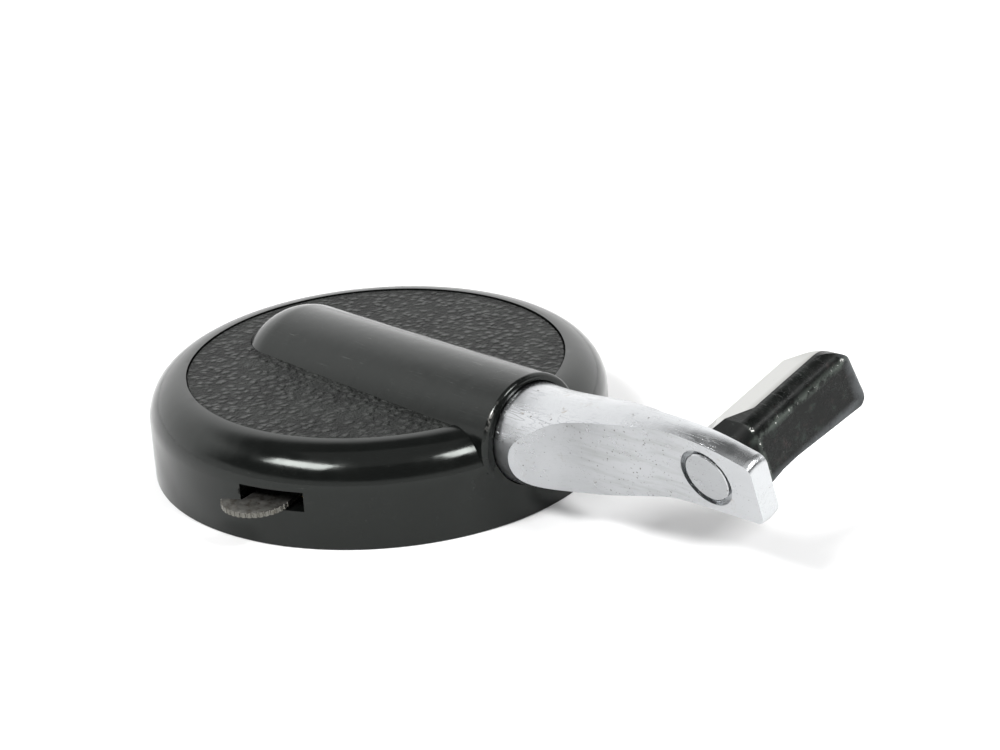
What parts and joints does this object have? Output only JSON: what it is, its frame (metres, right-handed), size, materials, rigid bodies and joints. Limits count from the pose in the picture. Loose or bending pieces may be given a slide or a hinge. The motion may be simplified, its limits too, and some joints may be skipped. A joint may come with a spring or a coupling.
{
  "type": "film winding crank",
  "caption": "Round black drum with a leather top and a side tube; a chromed arm swivels in the tube and carries a spinning finger grip; a small side lever unlocks it.",
  "frame": {"origin": "on the axis of the socket that takes the camera's winding shaft, in the plane of the housing's base rim", "axes": "+Z away from the camera along the socket's axis; +X along the tube, from the socket towards the arm's tip; +Y the way the finger grip points when the arm is folded flat"},
  "size_m": [0.0761, 0.048, 0.0192],
  "materials": {
    "black_enamel": "semi-gloss black enamel with a faint grey-green sheen, finely scratched",
    "leatherette": "black, irregular pebble grain",
    "satin_chrome": "satin chrome, lightly pitted",
    "black_plastic": "polished black plastic, scuffed grey along the edges",
    "inlay_metal": "matt, fine grain",
    "lever_steel": "bare sheet steel with a serrated edge",
    "bare_steel": "turned steel",
    "spring_steel": "blued spring steel",
    "screw_steel": "plain screw steel",
    "plate_aluminium": "turned aluminium, clear anodised",
    "brass": "turned brass",
    "black_rubber": "matt black rubber"
  },
  "bodies": {
    "drum": {"housing": "black_enamel", "leather_panel": "leatherette", "arm_bush": "brass", "detent_ball": "bare_steel", "detent_spring": "spring_steel", "keeper_screw": "screw_steel", "coupling_hub": "bare_steel", "hub_screws": "screw_steel", "back_plate": "plate_aluminium", "plate_screws": "screw_steel", "bayonet_ring": "bare_steel", "ring_screws": "screw_steel", "lever_pivot_screw": "screw_steel", "lever_washer": "brass", "spring_post": "bare_steel", "return_spring": "spring_steel"},
    "arm": {"crank_arm": "satin_chrome", "friction_ring": "black_rubber"},
    "finger_grip": {"grip": "black_plastic", "grip_inlay": "inlay_metal", "grip_insert": "brass", "grip_spindle": "satin_chrome", "grip_washer": "screw_steel"},
    "lever": {"release_lever": "lever_steel"}
  },
  "joints": [
    {"name": "arm_swivel", "type": "hinge", "parent": "drum", "child": "arm", "pos_m": [0.0147, 0, 0.0082], "axis": [1, 0, 0], "range_deg": [-16.3, 73.7]},
    {"name": "grip_spin", "type": "hinge", "parent": "arm", "child": "finger_grip", "pos_m": [0.0471, -0.00105, 0.0118], "axis": [0, 0.9598, 0.2807], "continuous": true},
    {"name": "lever_turn", "type": "hinge", "parent": "drum", "child": "lever", "pos_m": [0.00845, -0.0159, 0.00435], "axis": [0, 0, 1], "range_deg": [-5, 0], "stiffness_Nm_per_rad": 0.02, "springref_deg": 3.44, "deforming": ["return_spring"]}
  ]
}
